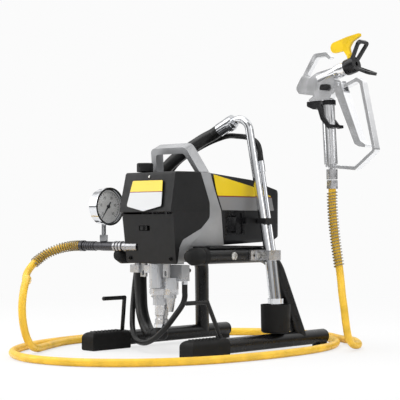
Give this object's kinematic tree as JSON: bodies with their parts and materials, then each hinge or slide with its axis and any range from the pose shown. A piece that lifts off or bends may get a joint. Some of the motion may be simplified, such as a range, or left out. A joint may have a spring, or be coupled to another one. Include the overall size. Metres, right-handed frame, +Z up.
{
  "type": "airless paint sprayer",
  "caption": "Airless paint sprayer on a tubular skid with piston pump, suction set, gauge, hose and spray gun.",
  "frame": {"origin": "on the floor, midway between the skid rails and midway along them", "axes": "+Z up, -Y towards the front cover, +X towards the suction tube's side"},
  "size_m": [0.5632, 0.7001, 0.5667],
  "materials": {
    "frame_black": "semi-gloss black paint",
    "rubber_black": "matte",
    "cover_black": "satin grained",
    "shroud_grey": "satin",
    "label_yellow": "satin film, bare bands",
    "cast_silver": "painted casting",
    "bright_steel": "machined",
    "chrome": "polished",
    "dark_steel": "blackened",
    "spring_olive": "coated wire",
    "hose_yellow": "smooth hose jacket",
    "tip_yellow": "smooth",
    "lens": "clear",
    "copper_iron": "wound laminations",
    "board_green": "board",
    "packing": "packed rings"
  },
  "bodies": {
    "machine": {"boots": "rubber_black", "rail_left": "frame_black", "rail_right": "frame_black", "side_tube_left": "frame_black", "side_tube_right": "frame_black", "end_caps": "rubber_black", "hooks": "frame_black", "mount_plate": "frame_black", "screws": "bright_steel", "gear_housing": "cast_silver", "carry_handle": "cast_silver", "front_cover": "cover_black", "label_plates": "label_yellow", "motor_shroud": "shroud_grey", "switch_bezel": "cover_black", "motor_can": "bright_steel", "bearings": "bright_steel", "control_board": "board_green", "manifold": "cast_silver", "pump_rings": "bright_steel", "inlet_valve": "bright_steel", "packings": "packing", "inlet_elbow": "dark_steel", "suction_hose": "rubber_black", "return_hose": "rubber_black", "suction_tube": "chrome", "return_tube": "chrome", "tube_fittings": "chrome", "tube_clamp": "bright_steel", "tube_clip": "cover_black", "outlet_pipe": "bright_steel", "hose_couplings": "dark_steel", "gauge_case": "bright_steel", "gauge_lens": "lens", "spring_guards": "spring_olive", "pressure_hose": "hose_yellow", "gun_swivel": "dark_steel"},
    "knob": {"pressure_knob": "cover_black"},
    "latch": {"panel_latch": "cover_black"},
    "rocker": {"rocker": "cover_black"},
    "motor_armature": {"armature": "copper_iron"},
    "counter_gear": {"countershaft": "bright_steel"},
    "crank": {"crankshaft": "bright_steel"},
    "pump_piston": {"piston": "bright_steel"},
    "foot_valve": {"foot_ball": "bright_steel"},
    "pusher": {"valve_pusher": "bright_steel"},
    "relief": {"relief_lever": "cover_black"},
    "cup": {"drip_cup": "cover_black"},
    "pointer": {"gauge_needle": "dark_steel"},
    "gun": {"gun_grip": "chrome", "gun_head": "chrome", "trigger_guard": "chrome", "grip_clip": "cover_black"},
    "gun_trigger": {"trigger": "chrome"},
    "gun_lock": {"trigger_lock": "cover_black"},
    "fluid_needle": {"gun_needle": "bright_steel"},
    "guard_tip": {"tip_guard": "cover_black"},
    "tip": {"spray_tip": "tip_yellow"}
  },
  "joints": [
    {"name": "knob_turn", "type": "hinge", "parent": "machine", "child": "knob", "pos_m": [-0.034, -0.131, 0.3208], "axis": [0, 0, 1], "range_deg": [-135, 135]},
    {"name": "latch_slide", "type": "slide", "parent": "machine", "child": "latch", "axis": [1, 0, 0], "range_m": [0, 0.006]},
    {"name": "rocker_tilt", "type": "hinge", "parent": "machine", "child": "rocker", "pos_m": [0.057, -0.004, 0.228], "axis": [0, 1, 0], "range_deg": [-8, 8]},
    {"name": "motor_spin", "type": "hinge", "parent": "machine", "child": "motor_armature", "pos_m": [0, 0, 0.248], "axis": [0, 1, 0], "continuous": true},
    {"name": "counter_spin", "type": "hinge", "parent": "machine", "child": "counter_gear", "pos_m": [0.0253, 0, 0.248], "axis": [0, 1, 0], "continuous": true},
    {"name": "crank_spin", "type": "hinge", "parent": "machine", "child": "crank", "pos_m": [0, 0, 0.248], "axis": [0, 1, 0], "continuous": true},
    {"name": "piston_stroke", "type": "slide", "parent": "machine", "child": "pump_piston", "axis": [0, 0, 1], "range_m": [-0.009, 0.009]},
    {"name": "foot_valve_lift", "type": "slide", "parent": "machine", "child": "foot_valve", "axis": [0, 0, 1], "range_m": [0, 0.002]},
    {"name": "pusher_press", "type": "slide", "parent": "machine", "child": "pusher", "axis": [1, 0, 0], "range_m": [0, 0.0025], "stiffness_N_per_m": 400, "springref_m": -0.002},
    {"name": "relief_turn", "type": "hinge", "parent": "machine", "child": "relief", "pos_m": [0.012, -0.092, 0.146], "axis": [0, 1, 0], "range_deg": [0, 90]},
    {"name": "cup_turn", "type": "hinge", "parent": "machine", "child": "cup", "pos_m": [0.1245, 0.042, 0.052], "axis": [0, 0, 1], "range_deg": [-180, 180]},
    {"name": "pointer_turn", "type": "hinge", "parent": "machine", "child": "pointer", "pos_m": [-0.114, -0.146, 0.26], "axis": [-1, 0, 0], "range_deg": [0, 270], "stiffness_Nm_per_rad": 0.0002, "springref_deg": -28.65},
    {"name": "gun_swivel_turn", "type": "hinge", "parent": "machine", "child": "gun", "pos_m": [0.192, 0.12, 0.3193], "axis": [0, 0, 1], "continuous": true},
    {"name": "trigger_pull", "type": "hinge", "parent": "gun", "child": "gun_trigger", "pos_m": [0.212, 0.12, 0.4793], "axis": [0, 1, 0], "range_deg": [0, 14], "stiffness_Nm_per_rad": 0.6, "springref_deg": -11.46},
    {"name": "lock_turn", "type": "hinge", "parent": "gun", "child": "gun_lock", "pos_m": [0.182, 0.111, 0.4753], "axis": [0, 1, 0], "range_deg": [0, 90]},
    {"name": "needle_pull", "type": "slide", "parent": "gun", "child": "fluid_needle", "axis": [-0.9703, 0, -0.2419], "range_m": [0, 0.004]},
    {"name": "guard_turn", "type": "hinge", "parent": "gun", "child": "guard_tip", "pos_m": [0.23566, 0.12, 0.51029], "axis": [0.9703, 0, 0.2419], "range_deg": [-90, 90]},
    {"name": "tip_turn", "type": "hinge", "parent": "guard_tip", "child": "tip", "pos_m": [0.23083, 0.12, 0.52969], "axis": [-0.2419, 0, 0.9703], "range_deg": [0, 180]}
  ],
  "couplings": [
    {"joint": "counter_spin", "follows": "motor_spin", "ratio": -0.35294},
    {"joint": "crank_spin", "follows": "motor_spin", "ratio": 0.15441},
    {"joint": "needle_pull", "follows": "trigger_pull", "m_per_rad": 0.01228}
  ]
}
